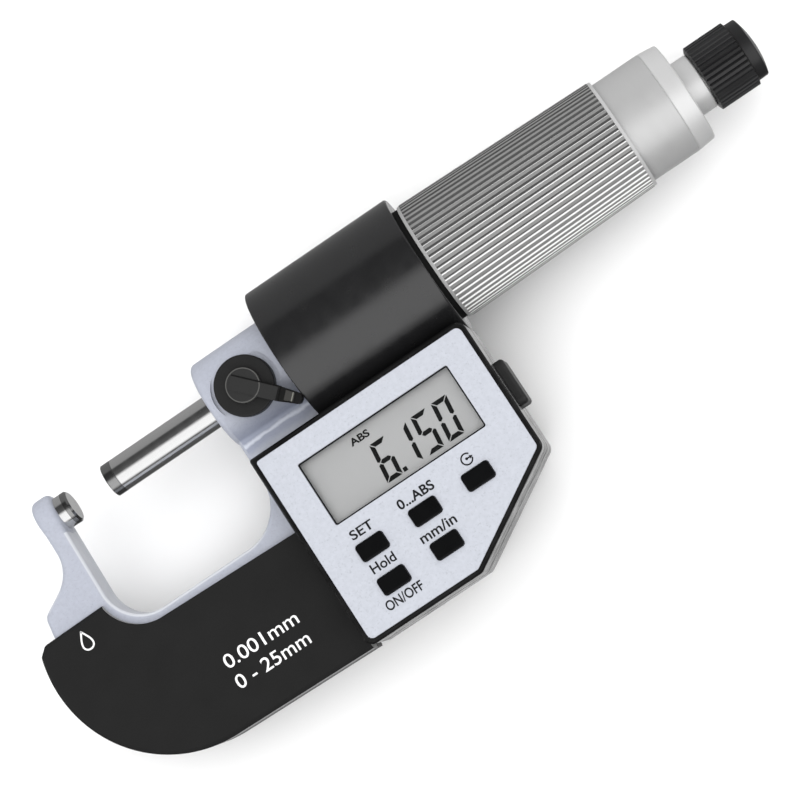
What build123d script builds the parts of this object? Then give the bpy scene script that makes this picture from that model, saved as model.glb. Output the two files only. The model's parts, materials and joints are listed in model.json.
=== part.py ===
"""Digital outside micrometer, 0-25 mm, lying on its back with the display facing up.

Millimetres. X runs along the spindle axis from the anvil to the ratchet knob, the bow of the frame
hangs towards -Y, and +Z is the way the display faces. The origin is the centre of the anvil's
measuring face.
"""

from build123d import *
from math import atan, cos, degrees, pi, sin
import os

os.makedirs("parts", exist_ok=True)

# ---------------------------------------------------------------- driving dimensions
SPINDLE_R = 3.25  # standard 6.5 mm spindle and anvil
REST_GAP = 8.0  # distance between the measuring faces at rest
RUN = 0.05  # radial clearance of a running fit
SEAT = 0.02  # gap between two pieces that sit in each other

WEB_Z = 4.0  # half thickness of the frame's web
COVER_Z = 5.5  # outer face of the bow covers
COVER_X1 = 33.3
COVER_EDGE = 0.7  # bevel along the bow
BOW_CENTRE = (4.4, -27.4)
BOW_R = 24.45
BOW_END_Y = -52.4
THROAT_CENTRE = (4.2, -17.9)
THROAT_Y = -25.1  # lower edge of the measuring throat
THROAT_X1 = 32.4
HORN_FOOT = (-15.6, -19.4)
HORN_HEEL = (-14.95, -14.8)
HORN_WAIST = (-6.85, -10.35)
RIM = 1.6  # width of the covers' rim round the frame
BOSS_R = 9.05  # round boss that carries the spindle
BOSS_X0 = 31.95
BOSS_X1 = 51.0

BACK_Z = -14.4  # the plane that the micrometer lies on
TOP_Z = 11.5  # bezel of the display housing
PANEL_Z = 11.4  # outer face of the face panel
PANEL_THICK = 0.5
PLATE_Z = 9.7  # inner face of the display housing's top plate
WALL = 1.6
SPLIT_Z = 3.0  # lower edge of the front shell
DRAFT_Z = -5.0  # below here the rear shell leans inwards
DRAFT = 2.0  # how far it has leaned in at the back
SEAL_THICK = 0.5
BOX_X0 = 33.6
BOX_X1 = 78.8
BOX_Y0 = -52.3
BOX_Y1 = -12.9
BEVEL_X = 57.6  # the lower right corner is cut from here
BEVEL_Y = -39.7  # to here

BARREL_R = 14.25
BARREL_BORE = 12.6
BARREL_X0 = 48.0
BARREL_X1 = 78.8

SLEEVE_X0 = 79.7
SLEEVE_X1 = 120.8
SLEEVE_R0 = 11.95
SLEEVE_R1 = 11.05
SLEEVE_BORE = 10.25
FLUTES = 60
FLUTE_DEPTH = 0.38
PLAIN_RING = 0.6  # plain ring at each end of the flutes

THIMBLE_R = 10.2
THIMBLE_BORE = 8.6
THIMBLE_X0 = 93.0
THIMBLE_X1 = 130.4
CAP_X1 = 134.0

KNOB_R = 6.5
KNOB_X0 = 137.6
KNOB_X1 = 146.0
KNOB_FLUTES = 40

LOCK_X = 40.0
LOCK_Y = -1.0
LOCK_R = 5.6
LOCK_ANGLE = -46.7

WINDOW_X = 56.4
WINDOW_Y = -24.8
WINDOW_W = 31.9
WINDOW_H = 12.9
BUTTON_W = 5.6
BUTTON_H = 3.3
BUTTONS = {
    "button_set": (43.9, -37.8),
    "button_hold": (43.9, -44.8),
    "button_abs": (55.1, -37.8),
    "button_unit": (55.1, -44.8),
    "button_origin": (66.3, -37.8),
}
BOARD_TOP = 6.8
BOARD_BOTTOM = 5.2

PORT_Y = -26.3
PORT_Z = -0.6
BATTERY_X = 62.0
BATTERY_Y = -30.0
HOUSING_SCREWS = [(37.8, -17.8), (37.8, -46.6), (74.9, -17.8), (74.9, -36.6)]
BOARD_SCREWS = [(42.6, -16.2), (70.6, -16.2), (49.5, -47.6), (61.0, -44.5)]
COVER_SCREWS = [(-13.0, -27.5), (6.0, -40.0), (26.5, -38.0)]


# ---------------------------------------------------------------- shared profiles
def turned(*points):
    """Closed profile of (x, radius) corners, to be turned about the X axis."""
    with BuildSketch() as profile:
        with BuildLine():
            Polyline(*points, close=True)
        make_face()
    return profile.sketch


def ring(x0, x1, inner, outer):
    """Rectangular section of a ring or rod between two stations on the X axis."""
    return turned((x0, inner), (x1, inner), (x1, outer), (x0, outer))


def finish(part, name):
    """Label a finished piece and write its STEP file."""
    part.label = name
    export_step(part, f"parts/{name}.step")


def cover_profile():
    """Plan of the bow covers: a flat top at the horn, a curve under the throat, a round bow."""
    with BuildSketch() as profile:
        with BuildLine():
            under_throat = CenterArc(THROAT_CENTRE, 8.85, 187, 83)
            Line(under_throat @ 1, (COVER_X1, -27.5))
            Line((COVER_X1, -27.5), (COVER_X1, BOW_END_Y))
            Line((COVER_X1, BOW_END_Y), (BOW_CENTRE[0], BOW_CENTRE[1] - BOW_R))
            bow = CenterArc(BOW_CENTRE, BOW_R, 270, -106)
            Line(bow @ 1, (-17.4, -19.2))
            Line((-17.4, -19.2), under_throat @ 0)
        make_face()
        fillet(profile.vertices().sort_by_distance((-18.2, -20.0))[:2], 1.0)
    return profile.sketch


def frame_profile(rim=RIM):
    """Plan of the frame: horn, throat, the part under the covers and the limb in the housing."""
    inner_r = BOW_R - rim
    with BuildSketch() as profile:
        with BuildLine():
            Polyline((-3.0, 0.0), (-3.4, THROAT_Y), (THROAT_X1, THROAT_Y), (THROAT_X1, 0.0))
            Line((THROAT_X1, 0.0), (47.7, 0.0))
            Line((47.7, 0.0), (47.7, -14.2))
            Line((47.7, -14.2), (44.0, -14.2))
            Line((44.0, -14.2), (44.0, -47.4))
            Line((44.0, -47.4), (35.0, -47.4))
            Line((35.0, -47.4), (35.0, BOW_END_Y + rim))
            Line((35.0, BOW_END_Y + rim), (BOW_CENTRE[0], BOW_CENTRE[1] - inner_r))
            bow = CenterArc(BOW_CENTRE, inner_r, 270, -106)
            Polyline(bow @ 1, HORN_FOOT, HORN_HEEL, HORN_WAIST, (-6.85, 0.0), (-3.0, 0.0))
        make_face()
        for corner, radius in (
            (HORN_FOOT, 0.9),
            (HORN_HEEL, 2.2),
            (HORN_WAIST, 7.0),
            ((-3.4, THROAT_Y), 8.0),
            ((THROAT_X1, THROAT_Y), 9.0),
        ):
            fillet(profile.vertices().sort_by_distance(corner)[0], radius)
    return profile.sketch


def box_profile(inset=0.0, corner=1.6):
    """Plan of the display housing with its bevelled corner, drawn smaller by inset.

    The corner beside the lock is nearly sharp, and the others are rounded.
    """
    with BuildSketch() as profile:
        with BuildLine():
            Polyline(
                (BOX_X0, BOX_Y1),
                (BOX_X0, BOX_Y0),
                (BEVEL_X, BOX_Y0),
                (BOX_X1, BEVEL_Y),
                (BOX_X1, BOX_Y1),
                close=True,
            )
        make_face()
        if inset:
            offset(amount=-inset, kind=Kind.INTERSECTION)
        corners = profile.vertices().sort_by_distance((BOX_X0, BOX_Y1))
        fillet(corners[1:], corner)
        fillet(profile.vertices().sort_by_distance((BOX_X0, BOX_Y1))[0], min(corner, 0.5))
    return profile.sketch


def rounded_slot(x, y, width, height, corner):
    """Plan of one round-cornered rectangle, for a window or a button."""
    with BuildSketch() as profile:
        with Locations((x, y)):
            RectangleRounded(width, height, corner)
    return profile.sketch


def posts(points, radius, bottom, top, mode=Mode.ADD):
    """Upright posts, or holes, at the given points between two heights."""
    with Locations([(x, y, bottom) for x, y in points]):
        Cylinder(
            radius,
            top - bottom,
            align=(Align.CENTER, Align.CENTER, Align.MIN),
            mode=mode,
        )


def block(x0, x1, y0, y1, z0, z1, mode=Mode.ADD):
    """Box between six limits."""
    with Locations((x0, y0, z0)):
        Box(x1 - x0, y1 - y0, z1 - z0, align=(Align.MIN, Align.MIN, Align.MIN), mode=mode)


def flute_ring(radius, depth, count, crest_share):
    """Corners of a fluted outline: flat crests with narrower grooves between them."""
    step = 2 * pi / count
    corners = []
    for i in range(count):
        for share, r in ((0.0, radius), (crest_share, radius), (0.5 + crest_share / 2, radius - depth)):
            angle = (i + share) * step
            corners.append((r * cos(angle), r * sin(angle)))
    return corners


COVER_PLAN = cover_profile()
FRAME_PLAN = frame_profile()
BUTTON_PLACES = list(BUTTONS.values())
LEFT_SCREWS = HOUSING_SCREWS[:2]
RIGHT_SCREWS = HOUSING_SCREWS[2:]

# ---------------------------------------------------------------- frame and anvil
BUSH_R = 4.75
BUSH_X1 = 43.8
TUBE_R = 7.0  # inner sleeve that the rotor hub turns on
LOCK_SEAT_Z = 8.3

with BuildPart() as frame:
    with BuildSketch(Plane.XY.offset(-WEB_Z)):
        add(FRAME_PLAN)
    extrude(amount=2 * WEB_Z)
    outline = frame.faces().filter_by(Axis.Z).edges()
    shown = outline.filter_by(lambda e: e.center().X < 32.5 and THROAT_Y - 0.2 < e.center().Y < -0.1)
    fillet(shown, 0.9)
    with BuildSketch() as horn_end:
        add(ring(-7.0, -2.75, 0, 4.5))
        fillet(horn_end.vertices().group_by(Axis.Y)[-1], 1.3)
    revolve(axis=Axis.X)
    with BuildSketch() as boss:
        add(ring(BOSS_X0, BOSS_X1, 0, BOSS_R))
        fillet(boss.vertices().group_by(Axis.Y)[-1].sort_by(Axis.X)[:1], 1.2)
    revolve(axis=Axis.X)
    creases = frame.edges().filter_by(Axis.X).filter_by(
        lambda e: e.center().X > 35 and -8.5 < e.center().Y < -7.5 and abs(abs(e.center().Z) - WEB_Z) < 0.01
    )
    fillet(creases, 0.9)
    revolve(ring(-6.02, 0, 0, SPINDLE_R + SEAT), axis=Axis.X, mode=Mode.SUBTRACT)
    revolve(ring(BOSS_X0 - 1, BUSH_X1, 0, BUSH_R + SEAT), axis=Axis.X, mode=Mode.SUBTRACT)
    revolve(ring(BUSH_X1, BOSS_X1 + 1, 0, TUBE_R + SEAT), axis=Axis.X, mode=Mode.SUBTRACT)
    posts([(LOCK_X, LOCK_Y)], 6.5, LOCK_SEAT_Z, BOSS_R + 1, Mode.SUBTRACT)
    posts([(LOCK_X, LOCK_Y)], 1.75, 1.0, LOCK_SEAT_Z + 1, Mode.SUBTRACT)
    posts(COVER_SCREWS, 1.1, -WEB_Z - 1, WEB_Z + 1, Mode.SUBTRACT)
    posts(LEFT_SCREWS, 1.2, -WEB_Z - 1, WEB_Z + 1, Mode.SUBTRACT)
finish(frame.part, "frame")

with BuildPart() as anvil:
    revolve(ring(-6.0, -1.2, 0, SPINDLE_R), axis=Axis.X)
finish(anvil.part, "anvil")

with BuildPart() as anvil_tip:
    revolve(
        turned((-1.2, 0), (0, 0), (0, SPINDLE_R - 0.4), (-0.4, SPINDLE_R), (-1.2, SPINDLE_R)),
        axis=Axis.X,
    )
finish(anvil_tip.part, "anvil_tip")

# ---------------------------------------------------------------- bow covers
SEAM = 0.12  # half of the seam between the two covers
COVER_SCREW_R = 0.9
FRAME_ROOM = frame_profile(RIM - RUN)


def bow_edges(part, height):
    """Outer edges of a cover's face, along the bow."""
    edges = part.faces().filter_by(Axis.Z).edges()
    rims = edges.filter_by(lambda e: abs(e.center().Z - height) < 0.01)
    return rims.filter_by(lambda e: e.center().Y < -35 and e.center().X < 33.0)


with BuildPart() as front_cover:
    with BuildSketch(Plane.XY.offset(SEAM)):
        add(COVER_PLAN)
    extrude(amount=COVER_Z - SEAM)
    chamfer(bow_edges(front_cover, COVER_Z), COVER_EDGE)
    with BuildSketch(Plane.XY.offset(SEAM - 1)):
        add(FRAME_ROOM)
    extrude(amount=WEB_Z + SEAT - SEAM + 1, mode=Mode.SUBTRACT)
    posts(COVER_SCREWS, COVER_SCREW_R, WEB_Z - 1, COVER_Z - 0.5, Mode.SUBTRACT)
finish(front_cover.part, "front_cover")

with BuildPart() as rear_cover:
    with BuildSketch(Plane.XY.offset(-COVER_Z)):
        add(COVER_PLAN)
    extrude(amount=COVER_Z - SEAM)
    chamfer(bow_edges(rear_cover, -COVER_Z), COVER_EDGE)
    with BuildSketch(Plane.XY.offset(-WEB_Z - SEAT)):
        add(FRAME_ROOM)
    extrude(amount=WEB_Z + SEAT + 1, mode=Mode.SUBTRACT)
    posts(COVER_SCREWS, 1.0, -COVER_Z - 1, 0, Mode.SUBTRACT)
    with Locations([(x, y, -COVER_Z) for x, y in COVER_SCREWS]):
        Cone(1.95, 1.0, 0.95, align=(Align.CENTER, Align.CENTER, Align.MIN), mode=Mode.SUBTRACT)
finish(rear_cover.part, "rear_cover")


def countersunk_screw(head_r, shank_r, head_h, length):
    """Countersunk screw pointing up from its own head face, with a cross recess."""
    Cone(head_r, shank_r, head_h, align=(Align.CENTER, Align.CENTER, Align.MIN))
    Cylinder(shank_r, length, align=(Align.CENTER, Align.CENTER, Align.MIN))
    recess = head_r * 1.2
    Box(recess, head_r * 0.3, 0.8, mode=Mode.SUBTRACT)
    Box(head_r * 0.3, recess, 0.8, mode=Mode.SUBTRACT)


with BuildPart() as cover_screws:
    with Locations([(x, y, -COVER_Z + 0.05) for x, y in COVER_SCREWS]):
        countersunk_screw(1.85, 0.85, 0.95, 2 * COVER_Z - 0.8)
finish(cover_screws.part, "cover_screws")

# ---------------------------------------------------------------- display housing
POST_R = 1.9
SCREW_HOLE_R = 0.95
SEAT_POST_R = 1.3
PANEL_BOTTOM = PANEL_Z - PANEL_THICK
PORT_HALF_Y = 3.25
PORT_HALF_Z = 2.75
HUB_NECK_R = 8.8


def frame_slot():
    """Take out the room where the frame's limb enters the housing."""
    limb_y0 = BOW_END_Y + RIM - RUN
    block(BOX_X0 - 2, BARREL_X0 - 0.1, limb_y0, -10, -WEB_Z - RUN, WEB_Z + RUN, Mode.SUBTRACT)


def port_slot():
    """Take out the opening for the data port in the right wall."""
    block(
        BOX_X1 - WALL - 1,
        BOX_X1 + 1,
        PORT_Y - PORT_HALF_Y,
        PORT_Y + PORT_HALF_Y,
        PORT_Z - PORT_HALF_Z,
        PORT_Z + PORT_HALF_Z,
        Mode.SUBTRACT,
    )


def ribbon_slot():
    """Take out the slot that the sensor ribbon passes through, under the barrel."""
    block(64, 70, -15.5, -11.0, 1.5, 3.5, Mode.SUBTRACT)


with BuildPart() as front_housing:
    with BuildSketch(Plane.XY.offset(SPLIT_Z)):
        add(box_profile(0, 1.8))
    extrude(amount=TOP_Z - SPLIT_Z)
    chamfer(front_housing.faces().sort_by(Axis.Z)[-1].edges(), 0.3)
    with BuildSketch() as barrel:
        add(ring(BARREL_X0, BARREL_X1, 0, BARREL_R))
        fillet(barrel.vertices().group_by(Axis.Y)[-1], 0.4)
    revolve(axis=Axis.X)
    with BuildSketch(Plane.XY.offset(SPLIT_Z)):
        add(box_profile(WALL, 1.0))
    extrude(amount=PLATE_Z - SPLIT_Z, mode=Mode.SUBTRACT)
    with BuildSketch(Plane.XY.offset(PANEL_BOTTOM)):
        add(box_profile(0.85, 1.2))
    extrude(amount=TOP_Z, mode=Mode.SUBTRACT)
    revolve(ring(BARREL_X0 + 1.8, BARREL_X1 - 2.0, 0, BARREL_BORE), axis=Axis.X, mode=Mode.SUBTRACT)
    revolve(ring(BARREL_X0 - 1, BARREL_X0 + 2, 0, BOSS_R + SEAT), axis=Axis.X, mode=Mode.SUBTRACT)
    revolve(ring(BARREL_X1 - 3, BARREL_X1 + 1, 0, HUB_NECK_R + 0.25), axis=Axis.X, mode=Mode.SUBTRACT)
    frame_slot()
    port_slot()
    ribbon_slot()
    with BuildSketch(Plane.XY.offset(PLATE_Z - 1)):
        add(rounded_slot(WINDOW_X, WINDOW_Y, 33.6, 14.2, 0.6))
        for x, y in BUTTON_PLACES:
            add(rounded_slot(x, y, BUTTON_W + 0.3, BUTTON_H + 0.3, 0.7))
    extrude(amount=3, mode=Mode.SUBTRACT)
    posts(LEFT_SCREWS, POST_R, WEB_Z + RUN, PLATE_Z + 0.1)
    posts(RIGHT_SCREWS, POST_R, SPLIT_Z, PLATE_Z + 0.1)
    posts(BOARD_SCREWS, SEAT_POST_R, BOARD_TOP, PLATE_Z + 0.1)
    posts(HOUSING_SCREWS, SCREW_HOLE_R, SPLIT_Z - 1, PLATE_Z, Mode.SUBTRACT)
    posts(BOARD_SCREWS, 0.6, BOARD_TOP - 1, PLATE_Z, Mode.SUBTRACT)
finish(front_housing.part, "front_housing")

REAR_TOP_Z = SPLIT_Z - SEAL_THICK
REAR_FLOOR_Z = BACK_Z + 1.8
CELL_R = 5.8
CELL_CUP_R = 8.6
CAP_BORE_R = 7.05
CAP_SEAT_Z = BACK_Z + 1.45
CELL_SEAT_Z = BACK_Z + 2.6

with BuildPart() as rear_housing:
    lean = degrees(atan(DRAFT / (DRAFT_Z - BACK_Z)))
    with BuildSketch(Plane.XY.offset(DRAFT_Z)):
        add(box_profile(0, 1.8))
    extrude(amount=REAR_TOP_Z - DRAFT_Z)
    with BuildSketch(Plane.XY.offset(DRAFT_Z)):
        add(box_profile(0, 1.8))
    extrude(amount=BACK_Z - DRAFT_Z, taper=lean)
    block(BARREL_X0 + 0.6, BARREL_X1 - 2.4, -18.0, -9.4, BACK_Z + 0.4, REAR_TOP_Z)
    with BuildSketch(Plane.XY.offset(DRAFT_Z)):
        add(box_profile(WALL, 1.0))
    extrude(amount=SPLIT_Z - DRAFT_Z, mode=Mode.SUBTRACT)
    with BuildSketch(Plane.XY.offset(DRAFT_Z)):
        add(box_profile(WALL, 1.0))
    extrude(amount=REAR_FLOOR_Z - DRAFT_Z, taper=lean, mode=Mode.SUBTRACT)
    revolve(
        ring(BARREL_X0 - 0.2, BARREL_X1 + 1, 0, BARREL_R + RUN), axis=Axis.X, mode=Mode.SUBTRACT
    )
    frame_slot()
    port_slot()
    ribbon_slot()
    posts(LEFT_SCREWS, POST_R, REAR_FLOOR_Z - 0.1, -WEB_Z - RUN)
    posts(RIGHT_SCREWS, POST_R, REAR_FLOOR_Z - 0.1, REAR_TOP_Z)
    posts([(BATTERY_X, BATTERY_Y)], CELL_CUP_R, REAR_FLOOR_Z - 0.1, -5.6)
    posts([(BATTERY_X, BATTERY_Y)], CELL_R + 0.4, CELL_SEAT_Z, 0, Mode.SUBTRACT)
    posts([(BATTERY_X, BATTERY_Y)], CAP_BORE_R, BACK_Z, CELL_SEAT_Z, Mode.SUBTRACT)
    posts([(BATTERY_X, BATTERY_Y)], 8.3, BACK_Z - 1, CAP_SEAT_Z, Mode.SUBTRACT)
    posts(HOUSING_SCREWS, 1.15, BACK_Z - 1, REAR_TOP_Z + 1, Mode.SUBTRACT)
    with Locations([(x, y, BACK_Z) for x, y in HOUSING_SCREWS]):
        Cone(1.75, 1.15, 1.0, align=(Align.CENTER, Align.CENTER, Align.MIN), mode=Mode.SUBTRACT)
finish(rear_housing.part, "rear_housing")

with BuildPart() as housing_seal:
    with BuildSketch(Plane.XY.offset(REAR_TOP_Z + SEAT)):
        add(box_profile(0.12, 2.1))
        add(box_profile(WALL - 0.1, 1.0), mode=Mode.SUBTRACT)
    extrude(amount=SEAL_THICK - 2 * SEAT)
    frame_slot()
    block(BARREL_X0 - 5, BOX_X1 + 1, -14.9, -10, 0, 5, Mode.SUBTRACT)
    port_slot()
finish(housing_seal.part, "housing_seal")

with BuildPart() as housing_screws:
    with Locations([(x, y, BACK_Z + 0.1) for x, y in HOUSING_SCREWS]):
        countersunk_screw(1.62, 0.9, 0.9, 22.0)
finish(housing_screws.part, "housing_screws")

with BuildPart() as face_panel:
    with BuildSketch(Plane.XY.offset(PANEL_BOTTOM + SEAT)):
        add(box_profile(0.95, 1.1))
        add(rounded_slot(WINDOW_X, WINDOW_Y, WINDOW_W, WINDOW_H, 0.4), mode=Mode.SUBTRACT)
        for x, y in BUTTON_PLACES:
            add(rounded_slot(x, y, BUTTON_W + 0.2, BUTTON_H + 0.2, 0.7), mode=Mode.SUBTRACT)
    extrude(amount=PANEL_THICK - SEAT)
finish(face_panel.part, "face_panel")

with BuildPart() as display_window:
    with BuildSketch(Plane.XY.offset(PLATE_Z + RUN)):
        add(rounded_slot(WINDOW_X, WINDOW_Y, 33.5, 14.1, 0.55))
    extrude(amount=PANEL_BOTTOM - PLATE_Z - RUN)
finish(display_window.part, "display_window")

# ---------------------------------------------------------------- electronics
LCD_BOTTOM = 7.9

with BuildPart() as lcd_glass:
    with BuildSketch(Plane.XY.offset(LCD_BOTTOM)):
        with Locations((WINDOW_X, WINDOW_Y)):
            Rectangle(33.0, 13.8)
    extrude(amount=PLATE_Z - LCD_BOTTOM)
finish(lcd_glass.part, "lcd_glass")

with BuildPart() as lcd_connector_strips:
    for y in (WINDOW_Y + 6.1, WINDOW_Y - 6.1):
        block(WINDOW_X - 14.5, WINDOW_X + 14.5, y - 0.6, y + 0.6, BOARD_TOP + SEAT, LCD_BOTTOM - SEAT)
finish(lcd_connector_strips.part, "lcd_connector_strips")

with BuildPart() as circuit_board:
    with BuildSketch(Plane.XY.offset(BOARD_BOTTOM)):
        with BuildLine():
            Polyline((40.2, -15.2), (40.2, -48.9), (59.4, -48.9), (72.8, -40.9), (72.8, -15.2), close=True)
        make_face()
        with Locations(BOARD_SCREWS):
            Circle(0.8, mode=Mode.SUBTRACT)
    extrude(amount=BOARD_TOP - SEAT - BOARD_BOTTOM)
    block(44.0, 52.0, -30.0, -22.0, BOARD_BOTTOM - 1.0, BOARD_BOTTOM)
finish(circuit_board.part, "circuit_board")

with BuildPart() as board_screws:
    with Locations([(x, y, BOARD_BOTTOM - 0.8) for x, y in BOARD_SCREWS]):
        Cylinder(1.2, 0.78, align=(Align.CENTER, Align.CENTER, Align.MIN))
        Cylinder(0.55, 4.0, align=(Align.CENTER, Align.CENTER, Align.MIN))
finish(board_screws.part, "board_screws")

DOME_TOP = 8.2
FLANGE_TOP = PLATE_Z - 0.05
FLANGE_THICK = 0.75

with BuildPart() as keypad_membrane:
    with BuildSketch(Plane.XY.offset(BOARD_TOP + SEAT)):
        with Locations((55.3, -37.8)):
            Rectangle(29.6, 6.4)
        with Locations((44.1, -41.4), (55.2, -41.4)):
            Rectangle(7.0, 13.4)
    extrude(amount=0.45)
    posts(BUTTON_PLACES, 1.3, BOARD_TOP + 0.4, DOME_TOP)
finish(keypad_membrane.part, "keypad_membrane")

for button_name, (button_x, button_y) in BUTTONS.items():
    with BuildPart() as button:
        with BuildSketch(Plane.XY.offset(FLANGE_TOP - FLANGE_THICK)):
            add(rounded_slot(button_x, button_y, BUTTON_W + 1.3, BUTTON_H + 1.3, 0.7))
        extrude(amount=FLANGE_THICK)
        with BuildSketch(Plane.XY.offset(FLANGE_TOP - 0.1)):
            add(rounded_slot(button_x, button_y, BUTTON_W, BUTTON_H, 0.6))
        extrude(amount=PANEL_Z + 0.65 - FLANGE_TOP + 0.1)
        fillet(button.faces().sort_by(Axis.Z)[-1].edges(), 0.3)
    finish(button.part, button_name)

with BuildPart() as battery:
    posts([(BATTERY_X, BATTERY_Y)], CELL_R, CELL_SEAT_Z + 0.1, CELL_SEAT_Z + 4.9)
    posts([(BATTERY_X, BATTERY_Y)], CELL_R - 0.9, CELL_SEAT_Z + 4.9, CELL_SEAT_Z + 5.5)
finish(battery.part, "battery")

CONTACT_Z = -5.55
with BuildPart() as battery_contact_top:
    posts([(BATTERY_X, BATTERY_Y)], 1.5, CELL_SEAT_Z + 5.52, CONTACT_Z + 0.1)
    block(BATTERY_X - 2, BATTERY_X + 2, BATTERY_Y - 8.4, BATTERY_Y + 8.4, CONTACT_Z, CONTACT_Z + 0.3)
    block(
        BATTERY_X - 1.2,
        BATTERY_X + 1.2,
        BATTERY_Y + 8.1,
        BATTERY_Y + 8.4,
        CONTACT_Z,
        BOARD_BOTTOM - RUN,
    )
finish(battery_contact_top.part, "battery_contact_top")

with BuildPart() as battery_contact_side:
    block(
        BATTERY_X - CELL_R - 0.3,
        BATTERY_X - CELL_R - 0.1,
        BATTERY_Y - 1.2,
        BATTERY_Y + 1.2,
        CELL_SEAT_Z + 0.6,
        BOARD_BOTTOM - RUN,
    )
finish(battery_contact_side.part, "battery_contact_side")

CAP_PLUG_R = CAP_BORE_R - RUN
CAP_TOP_Z = CELL_SEAT_Z - 0.1
GROOVE_Z = BACK_Z + 1.95
SEAL_MAJOR_R = CAP_PLUG_R - 0.34
with BuildPart() as battery_cap:
    posts([(BATTERY_X, BATTERY_Y)], 8.1, BACK_Z + 0.4, CAP_SEAT_Z - 0.05)
    posts([(BATTERY_X, BATTERY_Y)], CAP_PLUG_R, CAP_SEAT_Z - 0.1, CAP_TOP_Z)
    with Locations((BATTERY_X, BATTERY_Y, GROOVE_Z)):
        Torus(SEAL_MAJOR_R, 0.38, mode=Mode.SUBTRACT)
    block(
        BATTERY_X - 5,
        BATTERY_X + 5,
        BATTERY_Y - 0.8,
        BATTERY_Y + 0.8,
        BACK_Z,
        BACK_Z + 0.9,
        Mode.SUBTRACT,
    )
finish(battery_cap.part, "battery_cap")

with BuildPart() as battery_cap_seal:
    with Locations((BATTERY_X, BATTERY_Y, GROOVE_Z)):
        Torus(SEAL_MAJOR_R, 0.36)
finish(battery_cap_seal.part, "battery_cap_seal")

with BuildPart() as data_port_socket:
    block(71.6, 76.9, PORT_Y - 3.4, PORT_Y + 3.4, PORT_Z - 2.9, PORT_Z + 2.9)
    block(73.4, 78.0, PORT_Y - 2.7, PORT_Y + 2.7, PORT_Z - 1.9, PORT_Z + 1.9, Mode.SUBTRACT)
finish(data_port_socket.part, "data_port_socket")

with BuildPart() as data_port_contacts:
    for i in range(5):
        contact_y = PORT_Y - 2.0 + i
        block(73.42, 76.2, contact_y - 0.2, contact_y + 0.2, PORT_Z - 1.2, PORT_Z - 0.8)
finish(data_port_contacts.part, "data_port_contacts")

with BuildPart() as port_cover:
    with BuildSketch(Plane.YZ.offset(BOX_X1 + SEAT)):
        with Locations((PORT_Y, PORT_Z)):
            RectangleRounded(9.2, 8.2, 1.2)
    extrude(amount=1.75)
    fillet(port_cover.faces().sort_by(Axis.X)[-1].edges(), 0.7)
    with BuildSketch(Plane.YZ.offset(BOX_X1 - 1.5)):
        with Locations((PORT_Y, PORT_Z)):
            RectangleRounded(2 * PORT_HALF_Y - 0.3, 2 * PORT_HALF_Z - 0.3, 0.5)
    extrude(amount=1.6)
finish(port_cover.part, "port_cover")

# ---------------------------------------------------------------- spindle drive
HUB_COLLAR_X = 74.75
ROTOR_X = 73.6
DRIVE_X1 = 112.5
DRIVE_R = 8.4
SLOT_X0 = 84.0
KEY_X = 94.2
NUT_SEAT_R = 5.6
GUIDE_BORE = SPINDLE_R + 0.02
THREAD_R = 3.6

with BuildPart() as spindle_bush:
    revolve(ring(BOSS_X0 + 0.5, BUSH_X1 - 0.05, GUIDE_BORE, BUSH_R), axis=Axis.X)
    posts([(LOCK_X, LOCK_Y)], 1.75, 1.0, BUSH_R + 1, Mode.SUBTRACT)
finish(spindle_bush.part, "spindle_bush")

with BuildPart() as inner_sleeve:
    revolve(
        turned(
            (BUSH_X1 + 0.1, GUIDE_BORE),
            (58, GUIDE_BORE),
            (58, 3.85),
            (104, 3.85),
            (104, THREAD_R + RUN),
            (112, THREAD_R + RUN),
            (112, NUT_SEAT_R),
            (104, NUT_SEAT_R),
            (104, TUBE_R),
            (BUSH_X1 + 0.1, TUBE_R),
        ),
        axis=Axis.X,
    )
finish(inner_sleeve.part, "inner_sleeve")

with BuildPart() as adjusting_nut:
    revolve(ring(104.1, 110.5, NUT_SEAT_R + SEAT, TUBE_R - 0.1), axis=Axis.X)
    with Locations((110.5, 0, 0)):
        Box(1.6, 1.2, 3 * TUBE_R, mode=Mode.SUBTRACT)
finish(adjusting_nut.part, "adjusting_nut")

with BuildPart() as stator_board:
    revolve(ring(71.6, 73.2, 8.5, BARREL_BORE - RUN), axis=Axis.X)
finish(stator_board.part, "stator_board")

with BuildPart() as sensor_ribbon:
    block(64.5, 69.5, -19.0, -9.2, 2.4, 2.6)
    block(64.5, 69.5, -19.2, -19.0, 2.4, BOARD_BOTTOM - RUN)
    block(69.5, 71.55, -11.0, -9.2, 2.4, 2.6)
finish(sensor_ribbon.part, "sensor_ribbon")

with BuildPart() as rotor_disc:
    revolve(ring(ROTOR_X, HUB_COLLAR_X - SEAT, 8.0, 11.8), axis=Axis.X)
finish(rotor_disc.part, "rotor_disc")

with BuildPart() as rotor_hub:
    revolve(
        turned(
            (ROTOR_X, TUBE_R + RUN),
            (DRIVE_X1, TUBE_R + RUN),
            (DRIVE_X1, DRIVE_R),
            (SLEEVE_X0, DRIVE_R),
            (SLEEVE_X0, HUB_NECK_R),
            (76.5, HUB_NECK_R),
            (76.5, 11.5),
            (HUB_COLLAR_X, 11.5),
            (HUB_COLLAR_X, 8.0 - SEAT),
            (ROTOR_X, 8.0 - SEAT),
        ),
        axis=Axis.X,
    )
    block(SLOT_X0, DRIVE_X1 + 1, -1.05, 1.05, -DRIVE_R - 1, 0, Mode.SUBTRACT)
finish(rotor_hub.part, "rotor_hub")

with BuildPart() as dust_ring:
    revolve(ring(BARREL_X1 + SEAT, SLEEVE_X0 - 0.1, HUB_NECK_R + 0.25, 11.5), axis=Axis.X)
finish(dust_ring.part, "dust_ring")


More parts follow.
